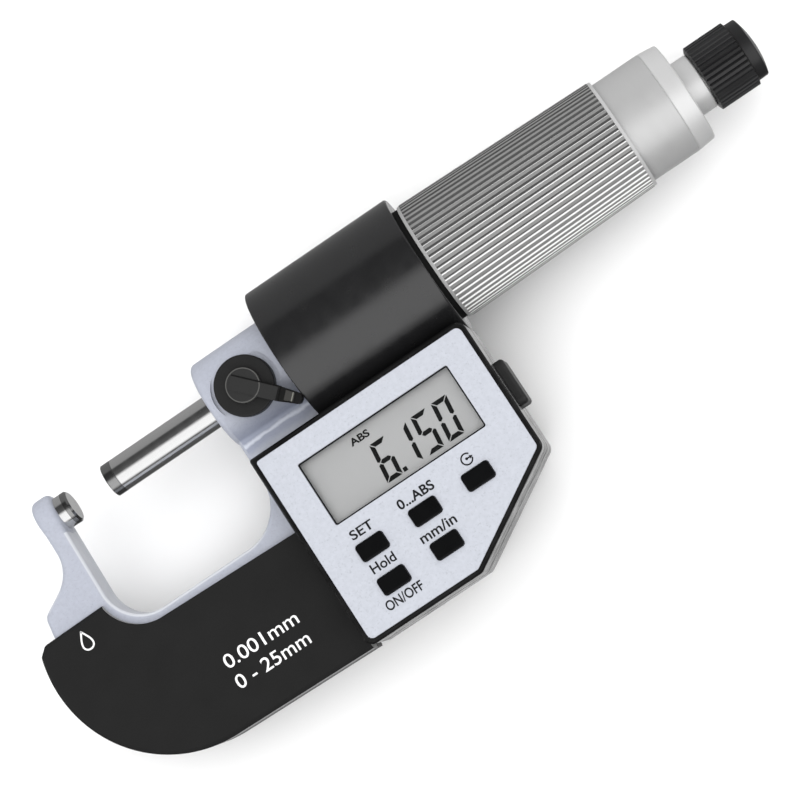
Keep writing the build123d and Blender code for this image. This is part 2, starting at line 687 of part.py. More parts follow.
def fluted_section(plane_x, radius):
    """Fluted outline across the sleeve at one station of its taper."""
    with BuildSketch(Plane.YZ.offset(plane_x)) as section:
        with BuildLine():
            Polyline(*flute_ring(radius, FLUTE_DEPTH, FLUTES, 0.45), close=True)
        make_face()
    return section.sketch


taper = (SLEEVE_R0 - SLEEVE_R1) / (SLEEVE_X1 - SLEEVE_X0)
flute_x0 = SLEEVE_X0 + PLAIN_RING
flute_x1 = SLEEVE_X1 - PLAIN_RING

with BuildPart() as fluted_sleeve:
    revolve(
        turned(
            (SLEEVE_X0, 0),
            (SLEEVE_X1, 0),
            (SLEEVE_X1, SLEEVE_R1 - 0.1),
            (flute_x1, SLEEVE_R1 - 0.05),
            (flute_x1, SLEEVE_R1 - FLUTE_DEPTH),
            (flute_x0, SLEEVE_R0 - FLUTE_DEPTH),
            (flute_x0, SLEEVE_R0 - 0.05),
            (SLEEVE_X0, SLEEVE_R0 - 0.2),
        ),
        axis=Axis.X,
    )
    loft(
        sections=[
            fluted_section(flute_x0, SLEEVE_R0 - taper * PLAIN_RING),
            fluted_section(flute_x1, SLEEVE_R1 + taper * PLAIN_RING),
        ],
        ruled=True,
    )
    revolve(ring(SLEEVE_X0 - 1, SLEEVE_X1 + 1, 0, DRIVE_R + SEAT), axis=Axis.X, mode=Mode.SUBTRACT)
    revolve(ring(SLEEVE_X0 + 2.6, SLEEVE_X1 + 1, 0, SLEEVE_BORE), axis=Axis.X, mode=Mode.SUBTRACT)
finish(fluted_sleeve.part, "fluted_sleeve")

# ---------------------------------------------------------------- spindle and thimble
SEAT_R = 3.9
STEM_THREAD_R = 1.7
GROOVE = 0.08  # fine groove where the hard tip is joined on

with BuildPart() as spindle:
    revolve(
        turned(
            (REST_GAP + 2.0, 0),
            (THIMBLE_X1, 0),
            (THIMBLE_X1, SEAT_R),
            (121, SEAT_R),
            (121, THREAD_R),
            (88, THREAD_R),
            (87.5, SPINDLE_R),
            (REST_GAP + 2.0 + GROOVE, SPINDLE_R),
            (REST_GAP + 2.0, SPINDLE_R - GROOVE),
        ),
        axis=Axis.X,
    )
    revolve(ring(126, THIMBLE_X1 + 1, 0, STEM_THREAD_R + SEAT), axis=Axis.X, mode=Mode.SUBTRACT)
finish(spindle.part, "spindle")

with BuildPart() as spindle_tip:
    revolve(
        turned(
            (REST_GAP, 0),
            (REST_GAP + 2.0, 0),
            (REST_GAP + 2.0, SPINDLE_R - GROOVE),
            (REST_GAP + 2.0 - GROOVE, SPINDLE_R),
            (REST_GAP + 0.12, SPINDLE_R),
            (REST_GAP, SPINDLE_R - 0.12),
        ),
        axis=Axis.X,
    )
finish(spindle_tip.part, "spindle_tip")

with BuildPart() as thimble:
    revolve(
        turned(
            (THIMBLE_X0, THIMBLE_BORE),
            (126, THIMBLE_BORE),
            (126, SEAT_R + SEAT),
            (THIMBLE_X1, SEAT_R + SEAT),
            (THIMBLE_X1, THIMBLE_R),
            (THIMBLE_X0, THIMBLE_R),
        ),
        axis=Axis.X,
    )
    posts([(KEY_X, 0)], 1.02, -THIMBLE_R - 1, 0, Mode.SUBTRACT)
finish(thimble.part, "thimble")

with BuildPart() as drive_key:
    posts([(KEY_X, 0)], 1.0, -THIMBLE_R + 0.15, -TUBE_R - 0.2)
finish(drive_key.part, "drive_key")

with BuildPart() as thimble_cap:
    revolve(
        turned(
            (THIMBLE_X1 + SEAT, 2.6),
            (CAP_X1, 2.6),
            (CAP_X1, 9.6),
            (CAP_X1 - 0.25, 9.85),
            (THIMBLE_X1 + 0.25, THIMBLE_R),
            (THIMBLE_X1 + SEAT, THIMBLE_R - 0.15),
        ),
        axis=Axis.X,
    )
finish(thimble_cap.part, "thimble_cap")

# ---------------------------------------------------------------- ratchet
COLLAR_X1 = 137.4
SPRING_X0 = 138.75
SPRING_X1 = 141.2
CAVITY_X1 = 141.4
SCREW_X = 144.2

with BuildPart() as ratchet_stem:
    revolve(
        turned(
            (126.2, 0),
            (SCREW_X, 0),
            (SCREW_X, 2.2),
            (COLLAR_X1, 2.2),
            (COLLAR_X1, 5.3),
            (COLLAR_X1 - 0.2, 5.45),
            (CAP_X1 + SEAT, 5.45),
            (CAP_X1 + SEAT, 2.55),
            (THIMBLE_X1 + SEAT, 2.55),
            (THIMBLE_X1 + SEAT, STEM_THREAD_R),
            (126.2, STEM_THREAD_R),
        ),
        axis=Axis.X,
    )
    revolve(ring(139, SCREW_X + 1, 0, 1.12), axis=Axis.X, mode=Mode.SUBTRACT)
finish(ratchet_stem.part, "ratchet_stem")

with BuildPart() as ratchet_pawl:
    revolve(ring(COLLAR_X1 + 0.1, COLLAR_X1 + 1.2, 2.22, 4.9), axis=Axis.X)
    with Locations(Plane.YZ.offset(COLLAR_X1 + 1.2)):
        with PolarLocations(4.0, 12):
            Box(1.4, 0.7, 1.0, mode=Mode.SUBTRACT)
finish(ratchet_pawl.part, "ratchet_pawl")

with BuildPart() as ratchet_spring:
    with BuildLine() as coil:
        Helix(0.8, SPRING_X1 - SPRING_X0 - 0.5, 3.6, center=(SPRING_X0 + 0.25, 0, 0), direction=(1, 0, 0))
    with BuildSketch(Plane(coil.line @ 0, z_dir=coil.line % 0)):
        Circle(0.22)
    sweep(path=coil.line)
finish(ratchet_spring.part, "ratchet_spring")

with BuildPart() as ratchet_knob:
    with BuildSketch(Plane.YZ.offset(KNOB_X0)):
        with BuildLine():
            Polyline(*flute_ring(KNOB_R, 0.3, KNOB_FLUTES, 0.5), close=True)
        make_face()
    extrude(amount=KNOB_X1 - KNOB_X0)
    revolve(
        turned((KNOB_X0, KNOB_R + 1), (KNOB_X0, KNOB_R - 0.7), (KNOB_X0 + 0.8, KNOB_R + 1)),
        axis=Axis.X,
        mode=Mode.SUBTRACT,
    )
    revolve(
        turned((KNOB_X1, KNOB_R + 1), (KNOB_X1, KNOB_R - 0.5), (KNOB_X1 - 0.6, KNOB_R + 1)),
        axis=Axis.X,
        mode=Mode.SUBTRACT,
    )
    revolve(ring(KNOB_X0 - 1, CAVITY_X1, 0, 5.2), axis=Axis.X, mode=Mode.SUBTRACT)
    revolve(ring(CAVITY_X1 - 1, 143.6, 0, 2.2 + RUN), axis=Axis.X, mode=Mode.SUBTRACT)
    revolve(ring(143.6, KNOB_X1 + 1, 0, 3.7), axis=Axis.X, mode=Mode.SUBTRACT)
finish(ratchet_knob.part, "ratchet_knob")

with BuildPart() as ratchet_screw:
    revolve(ring(139.2, SCREW_X + 0.1, 0, 1.1), axis=Axis.X)
    revolve(ring(SCREW_X + SEAT, SCREW_X + 1.0, 0, 3.2), axis=Axis.X)
    with Locations((SCREW_X + 1.0, 0, 0)):
        Box(0.8, 0.7, 5.0, mode=Mode.SUBTRACT)
finish(ratchet_screw.part, "ratchet_screw")

CAP_SHANK_X = 145.5
CAP_SHANK_R = 3.65
DOME_X0 = 148.0
DOME_RISE = 0.9
DOME_RIM_R = 5.8
dome_r = (DOME_RISE**2 + DOME_RIM_R**2) / (2 * DOME_RISE)
dome_mid_x = DOME_X0 + DOME_RISE - dome_r + (dome_r**2 - (DOME_RIM_R / 2) ** 2) ** 0.5

with BuildPart() as ratchet_cap:
    with BuildSketch() as dome:
        with BuildLine():
            Polyline(
                (DOME_X0 + DOME_RISE, 0),
                (CAP_SHANK_X, 0),
                (CAP_SHANK_X, CAP_SHANK_R),
                (KNOB_X1 + SEAT, CAP_SHANK_R),
                (KNOB_X1 + SEAT, DOME_RIM_R + 0.05),
                (DOME_X0, DOME_RIM_R),
            )
            ThreePointArc((DOME_X0, DOME_RIM_R), (dome_mid_x, DOME_RIM_R / 2), (DOME_X0 + DOME_RISE, 0))
        make_face()
        fillet(dome.vertices().sort_by_distance((DOME_X0, DOME_RIM_R))[0], 0.35)
    revolve(axis=Axis.X)
finish(ratchet_cap.part, "ratchet_cap")

# ---------------------------------------------------------------- spindle lock
LEVER_Z0 = LOCK_SEAT_Z + 0.05
LEVER_DISC_Z = 10.3
LEVER_TOP_Z = 11.5
ARM_HALF = 1.4
ARM_END = 6.4  # where the arm turns into the narrower thumb tip
TIP_HALF = 0.95
ARM_TIP = 11.0
TIP_UNDER_Z = 9.2


def lever_plan(*corners):
    """Outline of (along the arm, across the arm) corners, turned to the lever's angle."""
    with BuildSketch() as plan:
        with Locations(Location((LOCK_X, LOCK_Y, 0), (0, 0, LOCK_ANGLE))):
            Polygon(*corners, align=None)
    return plan.sketch


with BuildPart() as lock_lever:
    posts([(LOCK_X, LOCK_Y)], LOCK_R, LEVER_Z0, LEVER_DISC_Z)
    fillet(lock_lever.faces().sort_by(Axis.Z)[-1].edges(), 0.3)
    with BuildSketch(Plane.XY.offset(LEVER_DISC_Z - 0.2)):
        with Locations((LOCK_X, LOCK_Y)):
            Circle(3.15)
    extrude(amount=LEVER_TOP_Z - 0.15 - LEVER_DISC_Z + 0.2)
    with BuildSketch(Plane.XY.offset(LEVER_DISC_Z - 0.2)):
        add(
            lever_plan(
                (-2.4, -ARM_HALF),
                (ARM_END + 0.4, -ARM_HALF),
                (ARM_END + 0.4, ARM_HALF),
                (-2.4, ARM_HALF),
            )
        )
    extrude(amount=LEVER_TOP_Z - LEVER_DISC_Z + 0.2)
    with BuildSketch(Plane.XY.offset(TIP_UNDER_Z)) as tip_plan:
        add(
            lever_plan(
                (ARM_END - 0.1, -ARM_HALF),
                (ARM_TIP, -TIP_HALF),
                (ARM_TIP, TIP_HALF),
                (ARM_END - 0.1, ARM_HALF),
            )
        )
        end_x = LOCK_X + ARM_TIP * cos(LOCK_ANGLE * pi / 180)
        end_y = LOCK_Y + ARM_TIP * sin(LOCK_ANGLE * pi / 180)
        fillet(tip_plan.vertices().sort_by_distance((end_x, end_y))[:2], 0.85)
    extrude(amount=LEVER_TOP_Z - 0.3 - TIP_UNDER_Z)
    with BuildSketch(Plane.XY.offset(LEVER_TOP_Z - 0.5)):
        add(lever_plan((7.9, -0.95), (9.6, -0.8), (9.6, 0.8), (7.9, 0.95)))
    extrude(amount=0.45)
    posts([(LOCK_X, LOCK_Y)], 2.0, LEVER_Z0 - 0.1, 9.4, Mode.SUBTRACT)
finish(lock_lever.part, "lock_lever")

with BuildPart() as lock_screw:
    posts([(LOCK_X, LOCK_Y)], 1.7, 4.45, LEVER_Z0)
    posts([(LOCK_X, LOCK_Y)], 1.98, LEVER_Z0 - 0.02, 9.38)
finish(lock_screw.part, "lock_screw")

with BuildPart() as lock_shoe:
    posts([(LOCK_X, LOCK_Y)], 1.7, 1.0, 4.4)
    revolve(ring(LOCK_X - 3, LOCK_X + 3, 0, GUIDE_BORE), axis=Axis.X, mode=Mode.SUBTRACT)
finish(lock_shoe.part, "lock_shoe")
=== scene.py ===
"""Looks of a digital outside micrometer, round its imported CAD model. The scene is in metres, +Z up."""

import json
import math

import bmesh
import bpy
from mathutils import Matrix, Vector


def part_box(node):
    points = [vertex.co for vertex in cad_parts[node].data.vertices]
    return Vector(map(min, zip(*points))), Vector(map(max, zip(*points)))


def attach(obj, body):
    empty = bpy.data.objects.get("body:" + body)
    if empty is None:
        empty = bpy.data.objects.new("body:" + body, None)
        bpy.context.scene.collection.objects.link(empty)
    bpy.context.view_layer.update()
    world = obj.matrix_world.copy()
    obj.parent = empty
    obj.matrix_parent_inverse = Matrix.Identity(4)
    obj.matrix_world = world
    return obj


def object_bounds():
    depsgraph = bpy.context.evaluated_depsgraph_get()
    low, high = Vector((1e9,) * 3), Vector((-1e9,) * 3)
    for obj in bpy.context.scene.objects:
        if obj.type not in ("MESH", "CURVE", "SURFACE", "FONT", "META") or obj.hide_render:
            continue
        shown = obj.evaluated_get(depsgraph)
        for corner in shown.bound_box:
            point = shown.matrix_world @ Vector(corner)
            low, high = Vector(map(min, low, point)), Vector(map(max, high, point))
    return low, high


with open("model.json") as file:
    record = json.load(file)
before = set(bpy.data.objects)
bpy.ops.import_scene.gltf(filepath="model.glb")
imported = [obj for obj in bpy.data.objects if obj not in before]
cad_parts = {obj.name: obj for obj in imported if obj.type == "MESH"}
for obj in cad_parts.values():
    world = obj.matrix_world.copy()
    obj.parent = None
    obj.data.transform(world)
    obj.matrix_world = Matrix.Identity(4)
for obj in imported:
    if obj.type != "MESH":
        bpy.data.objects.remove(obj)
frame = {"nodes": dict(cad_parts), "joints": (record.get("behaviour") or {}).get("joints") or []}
cad_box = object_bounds()

MM = 0.001
ROOT = "frame"


def box_mm(node):
    """A node's lowest and highest corners, in millimetres."""
    return [Vector(corner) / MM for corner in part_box(node)]


# Places and sizes are in millimetres up to the studio section.
joint_places = {joint["name"]: joint.get("pos_m") for joint in frame["joints"]}
LOCK_X, LOCK_Y = [metres / MM for metres in joint_places["lock_turn"][:2]]
LOCK_ANGLE = -46.7  # direction of the lever's arm at rest, in degrees from +X

SLEEVE_X0, SLEEVE_X1 = [corner.x for corner in box_mm("fluted_sleeve")]
PLAIN_RING = 0.6
FLUTES = 60
FLUTE_CREST = (0.205, 0.205, 0.203)
FLUTE_SHADE = (0.05, 0.05, 0.05)
FLUTE_HIGHLIGHT = (0.98, 0.98, 0.98)

INK_MM = 0.02
INK_LIFT = 0.004
PANEL_TOP = box_mm("face_panel")[1].z + INK_LIFT
COVER_TOP = box_mm("front_cover")[1].z + INK_LIFT
DISPLAY_TOP = box_mm("lcd_glass")[1].z
WINDOW_TOP = box_mm("display_window")[1].z

# ---------------------------------------------------------------- node helpers


class Finish:
    """A node material: a Principled shader plus short calls for the patterns that feed it."""

    def __init__(self, name, colour, rough, metallic=0.0, specular=0.5, **plain):
        self.mat = bpy.data.materials.new(name)
        self.mat.use_nodes = True
        self.tree = self.mat.node_tree
        self.shader = self.tree.nodes["Principled BSDF"]
        self.colour = colour
        self.rough = rough
        self.shader.inputs["Base Color"].default_value = (*colour, 1.0)
        self.shader.inputs["Roughness"].default_value = rough
        self.shader.inputs["Metallic"].default_value = metallic
        self.shader.inputs["Specular IOR Level"].default_value = specular
        for socket, value in plain.items():
            self.shader.inputs[socket.replace("_", " ")].default_value = value
        coordinates = self.node("ShaderNodeTexCoord")
        self.place = coordinates.outputs["Object"]
        self.normal_out = coordinates.outputs["Normal"]
        self.normal = None

    def node(self, kind, **settings):
        made = self.tree.nodes.new(kind)
        for key, value in settings.items():
            setattr(made, key, value)
        return made

    def link(self, output, socket):
        self.tree.links.new(output, socket)

    def noise(self, size_mm, stretch=(1, 1, 1), detail=3.0, offset=0.0):
        """Noise whose features are about size_mm across, longer along an axis that stretch raises."""
        mapping = self.node("ShaderNodeMapping")
        self.link(self.place, mapping.inputs["Vector"])
        mapping.inputs["Scale"].default_value = [1 / s for s in stretch]
        mapping.inputs["Location"].default_value = (offset, offset * 0.7, offset * 1.3)
        tex = self.node("ShaderNodeTexNoise")
        self.link(mapping.outputs["Vector"], tex.inputs["Vector"])
        tex.inputs["Scale"].default_value = 1 / (size_mm * MM)
        tex.inputs["Detail"].default_value = detail
        return tex.outputs["Fac"]

    def cells(self, size_mm, feature="F1"):
        tex = self.node("ShaderNodeTexVoronoi", feature=feature)
        self.link(self.place, tex.inputs["Vector"])
        tex.inputs["Scale"].default_value = 1 / (size_mm * MM)
        return tex.outputs["Distance"]

    def ramp(self, value, *stops):
        """Greys or colours at positions along a value from 0 to 1."""
        node = self.node("ShaderNodeValToRGB")
        self.link(value, node.inputs["Fac"])
        bar = node.color_ramp.elements
        for index, (position, shade) in enumerate(stops):
            stop = bar[index] if index < 2 else bar.new(position)
            stop.position = position
            stop.color = (*shade, 1.0) if isinstance(shade, tuple) else (shade, shade, shade, 1.0)
        return node.outputs["Color"]

    def span(self, value, low, high, out_low, out_high):
        node = self.node("ShaderNodeMapRange")
        self.link(value, node.inputs["Value"])
        limits = {"From Min": low, "From Max": high, "To Min": out_low, "To Max": out_high}
        for socket, number in limits.items():
            node.inputs[socket].default_value = number
        return node.outputs["Result"]

    def maths(self, operation, a, b=0.0):
        node = self.node("ShaderNodeMath", operation=operation)
        for socket, value in zip(node.inputs, (a, b)):
            if isinstance(value, (int, float)):
                socket.default_value = value
            else:
                self.link(value, socket)
        return node.outputs[0]

    def split(self, vector):
        """A vector's three parts, by name."""
        parts = self.node("ShaderNodeSeparateXYZ")
        self.link(vector, parts.inputs[0])
        return parts.outputs

    def axis(self, name):
        """One coordinate of the surface point, in metres."""
        return self.split(self.place)[name]

    def both(self, a, b):
        return self.maths("MULTIPLY", a, b)

    def over(self, value, limit_mm):
        """1 where a length is over a limit, else 0."""
        return self.maths("GREATER_THAN", value, limit_mm * MM)

    def under(self, value, limit_mm):
        return self.maths("LESS_THAN", value, limit_mm * MM)

    def band(self, value, limits_mm):
        """1 where a length lies between two limits, else 0."""
        low, high = limits_mm
        return self.both(self.over(value, low), self.under(value, high))

    def tint(self, factor, darker, lighter):
        """Vary the base colour between two multiples of itself."""
        mix = self.node("ShaderNodeMix", data_type="RGBA")
        self.link(factor, mix.inputs["Factor"])
        mix.inputs["A"].default_value = (*[min(c * darker, 1) for c in self.colour], 1)
        mix.inputs["B"].default_value = (*[min(c * lighter, 1) for c in self.colour], 1)
        self.colour_out = mix.outputs["Result"]
        self.link(self.colour_out, self.shader.inputs["Base Color"])
        return self

    def overlay(self, factor, colour):
        """Cover the base colour with another where factor is 1."""
        mix = self.node("ShaderNodeMix", data_type="RGBA")
        self.link(factor, mix.inputs["Factor"])
        self.link(self.colour_out, mix.inputs["A"])
        mix.inputs["B"].default_value = (*colour, 1)
        self.colour_out = mix.outputs["Result"]
        self.link(self.colour_out, self.shader.inputs["Base Color"])
        return self

    def vary_rough(self, factor, spread):
        out = self.span(factor, 0.3, 0.7, max(self.rough - spread, 0.02), self.rough + spread)
        self.link(out, self.shader.inputs["Roughness"])
        return self

    def bump(self, height, depth_mm):
        node = self.node("ShaderNodeBump")
        node.inputs["Strength"].default_value = 1.0
        node.inputs["Distance"].default_value = depth_mm * MM
        self.link(height, node.inputs["Height"])
        if self.normal is not None:
            self.link(self.normal, node.inputs["Normal"])
        self.normal = node.outputs["Normal"]
        self.link(self.normal, self.shader.inputs["Normal"])
        return self


# ---------------------------------------------------------------- finishes


FLECK_SHADE = 0.62  # how dark the enamel's flecks are beside its colour


def paint(*settings):
    return paint_base(*settings).mat


def paint_base(name, colour, rough, speckle):
    """Sprayed enamel: soft cloudiness, fine darker flecks and orange peel."""
    f = Finish(name, colour, rough, specular=0.45)
    f.tint(f.ramp(f.noise(0.7, detail=6.0), (0.3, 0.0), (0.7, 1.0)), 0.95, 1.04)
    flecks = f.ramp(f.noise(0.34, detail=2.0, offset=0.3), (0.6, 0.0), (0.72, speckle))
    f.overlay(flecks, tuple(c * FLECK_SHADE for c in colour))
    f.vary_rough(f.noise(2.5), 0.06)
    return f.bump(f.noise(0.9, detail=1.0), 0.02).bump(f.noise(0.2), 0.006)


def moulded(name, colour, rough, grain_mm=0.25, depth_mm=0.012, specular=0.3):
    """Moulded plastic or rubber with a fine spark-eroded grain and faint handling marks."""
    f = Finish(name, colour, rough, specular=specular)
    f.tint(f.noise(6.0, detail=5.0), 0.85, 1.18)
    f.vary_rough(f.noise(3.0, detail=4.0), 0.06)
    f.bump(f.cells(grain_mm), depth_mm).bump(f.noise(0.12), depth_mm * 0.4)
    return f.mat


SHELL_Z = 15.0  # heights beyond this are never reached by a shell
BEZEL_Z, BEZEL_Y = 11.0, -12.8  # the rim round the panel, painted darker as painted shade, is above the one and below the other
BEZEL_SHADE = (0.0008, 0.0008, 0.0008)
# Each band is a height and how much paler the wall is painted there, a painted reflection of the bright
# surroundings.
COVER_REFLECTION_BANDS = [(-5.4, 0.09), (-0.4, 0.13), (-0.25, 0.0), (0.25, 0.0), (0.4, 0.25), (4.4, 0.28)]
HOUSING_REFLECTION_BANDS = [(-14.0, 0.02), (2.0, 0.06), (2.6, 0.0), (8.0, 0.0), (8.5, 0.2), (9.2, 0.2), (9.7, 0.0)]


def shell(name, colour, rough, grain_mm, depth_mm, specular, lower_y, reflection_bands):
    """Moulded black shell; its upright walls below lower_y are painted paler in bands of height, a painted
    reflection, and its rim round the panel is painted darker, painted shade.
    """
    f = Finish(name, colour, rough, specular=specular)
    f.tint(f.noise(6.0, detail=5.0), 0.85, 1.18)
    upright = f.span(f.maths("ABSOLUTE", f.split(f.normal_out)["Z"]), 0.25, 0.6, 1.0, 0.0)
    upright = f.both(upright, f.under(f.axis("Y"), lower_y))
    height = f.span(f.axis("Z"), -SHELL_Z * MM, SHELL_Z * MM, 0.0, 1.0)
    # Painted reflection: upright walls lighter in bands of height, as if they mirrored a bright surrounding.
    wall_reflection = f.ramp(height, *[((z / SHELL_Z + 1) / 2, share) for z, share in reflection_bands])
    f.overlay(f.both(upright, wall_reflection), (1.0, 1.0, 1.0))
    # Painted shade: the flat rim round the panel is painted nearly black, darker than the rest of the shell.
    f.overlay(f.both(f.over(f.axis("Z"), BEZEL_Z), f.under(f.axis("Y"), BEZEL_Y)), BEZEL_SHADE)
    f.vary_rough(f.noise(3.0, detail=4.0), 0.06)
    f.bump(f.cells(grain_mm), depth_mm).bump(f.noise(0.12), depth_mm * 0.4)
    return f.mat


def turned_metal(*settings):
    return turned_metal_base(*settings).mat


def turned_metal_base(name, colour, rough, line_mm=0.05, depth_mm=0.0012, metallic=1.0):
    """Metal turned or ground about the X axis: fine rings round the axis, faint stains along it."""
    f = Finish(name, colour, rough, metallic)
    rings = f.noise(line_mm, stretch=(1, 60, 60), detail=2.0)
    f.tint(f.maths("MULTIPLY_ADD", rings, 0.6), 0.94, 1.04)
    f.vary_rough(f.noise(1.5, stretch=(1, 3, 3), detail=4.0), 0.05)
    return f.bump(rings, depth_mm)


def plain_metal(name, colour, rough):
    """Small plated or blackened metal parts, with tiny scratches."""
    f = Finish(name, colour, rough, 1.0)
    f.tint(f.noise(0.8, detail=5.0), 0.85, 1.1)
    f.vary_rough(f.noise(0.3, detail=4.0), 0.08)
    f.bump(f.noise(0.08, stretch=(6, 1, 1)), 0.002)
    return f.mat


BOSS_X = 33.0  # the bow is to the left of this, the boss to the right
THROAT_Y = -3.8  # the throat's walls are painted lighter below this, a painted highlight
CREASE_Y = (-12.0, -4.0)  # the stretch of the boss that holds the crease
CREASE_Z = 3.0
CREASE_WANDER = 0.35


def frame_paint():
    """The frame's enamel, with a painted highlight on the throat's walls and rounded edges, and a painted
    shade band and a painted highlight line along the crease under the boss.
    """
    f = paint_base("frame_enamel", (0.345, 0.362, 0.42), 0.38, 0.35)
    normal = f.split(f.normal_out)
    inward = f.span(f.maths("ADD", normal["X"], normal["Y"]), 0.1, 0.5, 0.0, 1.0)
    throat = f.both(f.both(inward, f.under(f.axis("X"), BOSS_X)), f.under(f.axis("Y"), THROAT_Y))
    # Painted highlight: the throat's walls facing +X and +Y are lighter, most of all on their rounded edges.
    throat_highlight = f.ramp(normal["Z"], (0.0, 0.55), (0.2, 0.55), (0.45, 0.9), (0.85, 0.9), (0.97, 0.0))
    f.overlay(f.both(throat, throat_highlight), (0.56, 0.575, 0.61))
    wander = f.span(f.noise(3.0, detail=6.0), 0.3, 0.7, -CREASE_WANDER * MM, CREASE_WANDER * MM)
    front = f.both(f.over(f.axis("Z"), CREASE_Z), f.over(f.axis("X"), BOSS_X))
    position = f.span(f.maths("ADD", f.axis("Y"), wander), CREASE_Y[0] * MM, CREASE_Y[1] * MM, 0.0, 1.0)
    # Painted shade: a darker bluish band along the crease where the boss meets the web.
    shaded = f.ramp(position, (0.05, 0.0), (0.2, 0.55), (0.5, 0.6), (0.85, 0.0))
    f.overlay(f.both(shaded, front), (0.20, 0.225, 0.31))
    # Painted highlight: a pale wavering line along the crease's fillet.
    crease_highlight = f.ramp(position, (0.29, 0.0), (0.335, 0.8), (0.365, 0.8), (0.42, 0.0))
    f.overlay(f.both(crease_highlight, front), (0.55, 0.58, 0.65))
    return f.mat


LEVER_FLAT_Z = 10.4  # over this the surface is the arm or the hub's flat top
# The painted highlight ring round the hub's rim.
HUB_HIGHLIGHT_Z, HUB_HIGHLIGHT = 10.32, (2.96, 3.16)  # height, and distances from the lock's axis
ARM_LENGTH, ARM_SHADE_EDGE = (-2.4, 6.4), (1.15, 1.4)  # along the arm, and across it
TIP_LENGTH = (6.4, 11.2)
PAD_Z, PAD_LENGTH, PAD_LINE = 11.3, (7.9, 9.6), (9.2, 9.4)


def lever_finish():
    """Black lever: a painted highlight round the hub, a painted shade line along the arm's edge, a darker
    tip, a brushed pad on the tip.
    """
    f = Finish("lever_black", (0.0135, 0.0135, 0.0135), 0.45, specular=0.2)
    f.tint(f.noise(4.0, detail=5.0), 0.85, 1.15)
    dx = f.maths("SUBTRACT", f.axis("X"), LOCK_X * MM)
    dy = f.maths("SUBTRACT", f.axis("Y"), LOCK_Y * MM)
    angle = math.radians(LOCK_ANGLE)
    along = f.maths("ADD", f.both(dx, math.cos(angle)), f.both(dy, math.sin(angle)))
    across = f.maths("SUBTRACT", f.both(dy, math.cos(angle)), f.both(dx, math.sin(angle)))
    reach = f.maths("SQRT", f.maths("ADD", f.both(dx, dx), f.both(dy, dy)))
    flat_top = f.over(f.axis("Z"), LEVER_FLAT_Z)
    pad_top = f.over(f.axis("Z"), PAD_Z)
    f.overlay(flat_top, (0.021, 0.021, 0.021))
    # Painted highlight: a pale ring round the hub's rim.
    f.overlay(f.both(f.band(reach, HUB_HIGHLIGHT), f.over(f.axis("Z"), HUB_HIGHLIGHT_Z)), (0.075, 0.075, 0.072))
    # Painted shade: a dark line along one edge of the arm's flat top.
    arm_edge_shade = f.both(f.band(across, ARM_SHADE_EDGE), f.band(along, ARM_LENGTH))
    f.overlay(f.both(arm_edge_shade, flat_top), (0.003, 0.003, 0.003))
    f.overlay(f.band(along, TIP_LENGTH), (0.006, 0.006, 0.006))
    f.overlay(f.both(f.band(along, PAD_LENGTH), pad_top), (0.035, 0.034, 0.032))
    f.overlay(f.both(f.band(along, PAD_LINE), pad_top), (0.16, 0.16, 0.14))
    f.vary_rough(f.noise(2.0, detail=4.0), 0.06)
    f.bump(f.cells(0.2), 0.005).bump(f.noise(0.12), 0.003)
    return f.mat


def flute_finish():
    """Bright knurled grip: one side of each groove painted as a highlight, the other as painted shade, plain
    rings at the ends.
    """
    f = turned_metal_base("flute_aluminium", FLUTE_CREST, 0.4, 0.12, 0.0015, 0.15)
    angle = f.maths("ARCTAN2", f.axis("Z"), f.axis("Y"))
    phase = f.maths("FRACT", f.both(angle, FLUTES / (2 * math.pi)))
    # Painted light: in each groove one facet is painted shade and the other a painted highlight, as if lit
    # from +Y.
    shaded_facet = f.ramp(phase, (0.43, 0.0), (0.48, 1.0), (0.69, 1.0), (0.74, 0.0))
    lit_facet = f.ramp(phase, (0.77, 0.0), (0.82, 1.0), (0.93, 1.0), (0.98, 0.0))
    f.overlay(shaded_facet, FLUTE_SHADE).overlay(lit_facet, FLUTE_HIGHLIGHT)
    mid = (SLEEVE_X0 + SLEEVE_X1) / 2 * MM
    from_middle = f.maths("ABSOLUTE", f.maths("SUBTRACT", f.axis("X"), mid))
    plain_from = (SLEEVE_X1 - SLEEVE_X0) / 2 * MM - PLAIN_RING * MM
    f.overlay(f.maths("GREATER_THAN", from_middle, plain_from), (0.42, 0.42, 0.42))
    return f.mat


FRAME_PAINT = frame_paint()
PANEL_PAINT = paint("panel_print", (0.415, 0.432, 0.478), 0.55, 0.45)
COVER_BLACK = shell("cover_black", (0.0115, 0.0115, 0.0115), 0.6, 0.25, 0.012, 0.12, -15.0, COVER_REFLECTION_BANDS)
HOUSING_BLACK = shell(
    "housing_black", (0.010, 0.010, 0.0105), 0.22, 0.18, 0.002, 0.95, -15.5, HOUSING_REFLECTION_BANDS)
PORT_BLACK = moulded("port_black", (0.022, 0.022, 0.022), 0.45, 0.2, 0.006)
CAP_BLACK = moulded("cap_black", (0.02, 0.02, 0.02), 0.5)
KEY_BLACK = moulded("key_black", (0.0022, 0.0024, 0.0026), 0.3, 0.2, 0.002, specular=0.12)
LEVER_BLACK = lever_finish()
KNOB_BLACK = moulded("knob_black", (0.011, 0.011, 0.0115), 0.4, 0.2, 0.005, specular=0.5)
RUBBER = moulded("seal_rubber", (0.006, 0.006, 0.006), 0.75, 0.15, 0.01, specular=0.2)
GREY_RUBBER = moulded("keypad_rubber", (0.25, 0.26, 0.28), 0.7, 0.2, 0.01)
SPINDLE_STEEL = turned_metal("ground_steel", (0.80, 0.80, 0.80), 0.14)
CARBIDE = turned_metal("hard_metal", (0.33, 0.33, 0.33), 0.2, 0.08, 0.0016)
FLUTE_ALLOY = flute_finish()
